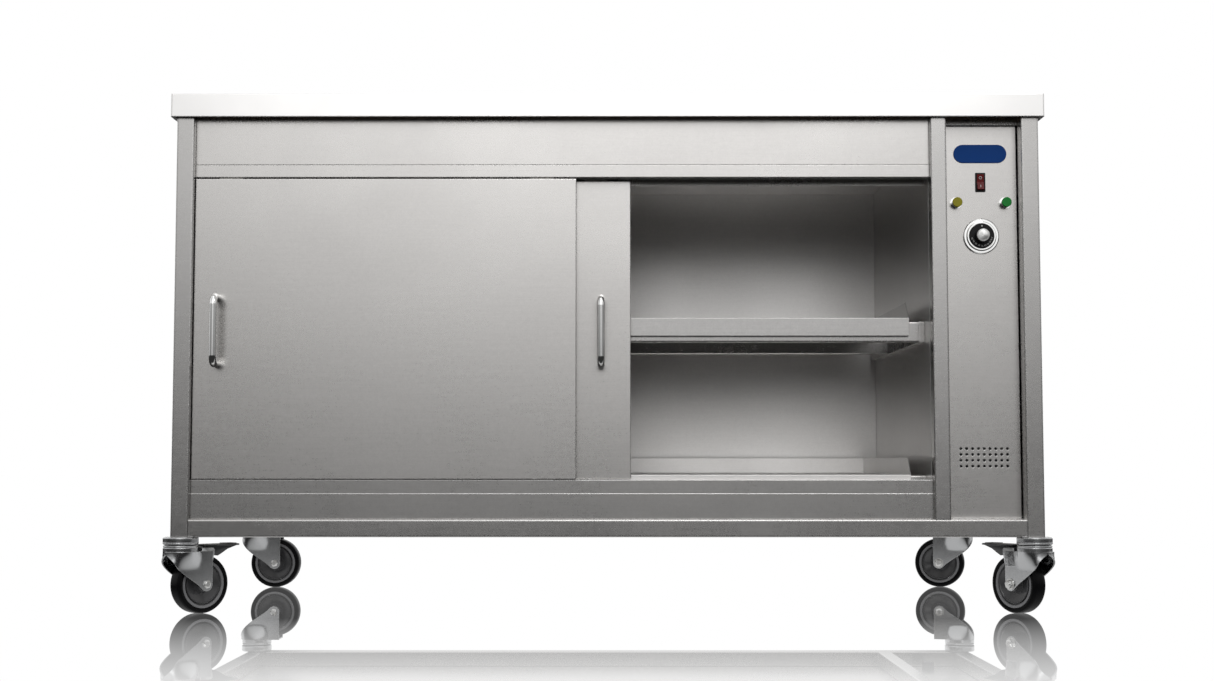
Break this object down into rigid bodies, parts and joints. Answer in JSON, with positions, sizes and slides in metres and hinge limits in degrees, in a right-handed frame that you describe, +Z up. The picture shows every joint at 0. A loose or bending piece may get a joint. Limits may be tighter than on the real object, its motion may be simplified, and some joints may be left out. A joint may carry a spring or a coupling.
{
  "type": "food holding cabinet",
  "caption": "Mobile stainless hot cupboard with two sliding doors, a shelf, a control panel and swivel casters",
  "frame": {"origin": "middle of the whole object's footprint, at the floor", "axes": "+X to the right when facing the doors, along the cabinet's length; -Y out of the doors; +Z up"},
  "size_m": [1.5216, 0.7344, 0.89],
  "materials": {
    "satin_steel": "satin",
    "polished_steel": "polished",
    "zinc_plate": "satin",
    "wheel_plastic": "satin",
    "tyre_rubber": "matte",
    "black_plastic": "satin",
    "red_plastic": "gloss",
    "yellow_lens": "gloss",
    "green_lens": "gloss",
    "blue_badge": "gloss",
    "wool": "matte",
    "element_metal": "matte",
    "nylon": "satin",
    "aluminium_cap": "satin",
    "board": "matte"
  },
  "bodies": {
    "cabinet": {"back_panel": "satin_steel", "base_pan": "satin_steel", "bottom_deck": "satin_steel", "bottom_track": "satin_steel", "cable_gland": "black_plastic", "caster_heads": "zinc_plate", "cavity_liners": "satin_steel", "centre_post": "satin_steel", "control_panel": "satin_steel", "frame_rails": "satin_steel", "front_bottom_rail": "satin_steel", "front_left_post": "satin_steel", "front_right_post": "satin_steel", "green_lens": "green_lens", "heating_elements": "element_metal", "insulation_slabs": "wool", "lamp_bezels": "polished_steel", "lower_fascia": "satin_steel", "middle_shelf": "satin_steel", "panel_badge": "blue_badge", "partition_panel": "satin_steel", "rear_posts": "satin_steel", "rocker_housing": "black_plastic", "side_panels": "satin_steel", "terminal_block": "black_plastic", "thermostat_bezel": "polished_steel", "thermostat_body": "black_plastic", "top_track": "satin_steel", "tray_supports": "satin_steel", "upper_fascia": "satin_steel", "worktop": "satin_steel", "worktop_core": "board", "yellow_lens": "yellow_lens"},
    "front_door": {"front_door_guides": "nylon", "front_door_handle": "polished_steel", "front_door_insulation": "wool", "front_door_liner": "satin_steel", "front_door_skin": "satin_steel"},
    "rear_door": {"rear_door_guides": "nylon", "rear_door_handle": "polished_steel", "rear_door_insulation": "wool", "rear_door_liner": "satin_steel", "rear_door_skin": "satin_steel"},
    "control_knob": {"control_knob": "black_plastic", "knob_cap": "aluminium_cap"},
    "power_rocker": {"rocker": "red_plastic"},
    "front_left_caster": {"front_left_fork": "zinc_plate"},
    "front_left_wheel": {"front_left_hub": "wheel_plastic", "front_left_tyre": "tyre_rubber"},
    "front_left_brake": {"front_left_brake_pedal": "zinc_plate"},
    "front_right_caster": {"front_right_fork": "zinc_plate"},
    "front_right_wheel": {"front_right_hub": "wheel_plastic", "front_right_tyre": "tyre_rubber"},
    "front_right_brake": {"front_right_brake_pedal": "zinc_plate"},
    "rear_left_caster": {"rear_left_fork": "zinc_plate"},
    "rear_left_wheel": {"rear_left_hub": "wheel_plastic", "rear_left_tyre": "tyre_rubber"},
    "rear_right_caster": {"rear_right_fork": "zinc_plate"},
    "rear_right_wheel": {"rear_right_hub": "wheel_plastic", "rear_right_tyre": "tyre_rubber"}
  },
  "joints": [
    {"name": "front_door_slide", "type": "slide", "parent": "cabinet", "child": "front_door", "axis": [1, 0, 0], "range_m": [0, 0.51]},
    {"name": "rear_door_slide", "type": "slide", "parent": "front_door", "child": "rear_door", "axis": [-1, 0, 0], "range_m": [-0.514, 0.03]},
    {"name": "front_left_swivel", "type": "hinge", "parent": "cabinet", "child": "front_left_caster", "pos_m": [-0.726, -0.32217, 0.118], "axis": [0, 0, 1], "continuous": true},
    {"name": "front_left_roll", "type": "hinge", "parent": "front_left_caster", "child": "front_left_wheel", "pos_m": [-0.70008, -0.29438, 0.05], "axis": [-0.7314, 0.682, 0], "continuous": true},
    {"name": "front_left_brake", "type": "hinge", "parent": "front_left_caster", "child": "front_left_brake", "pos_m": [-0.6919, -0.28561, 0.107], "axis": [-0.7314, 0.682, 0], "range_deg": [0, 12]},
    {"name": "front_right_swivel", "type": "hinge", "parent": "cabinet", "child": "front_right_caster", "pos_m": [0.726, -0.32217, 0.118], "axis": [0, 0, 1], "continuous": true},
    {"name": "front_right_roll", "type": "hinge", "parent": "front_right_caster", "child": "front_right_wheel", "pos_m": [0.7053, -0.2903, 0.05], "axis": [-0.8387, -0.5446, 0], "continuous": true},
    {"name": "front_right_brake", "type": "hinge", "parent": "front_right_caster", "child": "front_right_brake", "pos_m": [0.69877, -0.28024, 0.107], "axis": [-0.8387, -0.5446, 0], "range_deg": [0, 12]},
    {"name": "rear_left_swivel", "type": "hinge", "parent": "cabinet", "child": "rear_left_caster", "pos_m": [-0.726, 0.32783, 0.118], "axis": [0, 0, 1], "continuous": true},
    {"name": "rear_left_roll", "type": "hinge", "parent": "rear_left_caster", "child": "rear_left_wheel", "pos_m": [-0.688, 0.32783, 0.05], "axis": [0, 1, 0], "continuous": true},
    {"name": "rear_right_swivel", "type": "hinge", "parent": "cabinet", "child": "rear_right_caster", "pos_m": [0.726, 0.32783, 0.118], "axis": [0, 0, 1], "continuous": true},
    {"name": "rear_right_roll", "type": "hinge", "parent": "rear_right_caster", "child": "rear_right_wheel", "pos_m": [0.68966, 0.33894, 0.05], "axis": [-0.2924, -0.9563, 0], "continuous": true},
    {"name": "thermostat_turn", "type": "hinge", "parent": "cabinet", "child": "control_knob", "pos_m": [0.64675, -0.31417, 0.648], "axis": [0, 1, 0], "range_deg": [0, 270]},
    {"name": "power_rocker_tilt", "type": "hinge", "parent": "cabinet", "child": "power_rocker", "pos_m": [0.64675, -0.30497, 0.742], "axis": [1, 0, 0], "range_deg": [0, 18]}
  ]
}
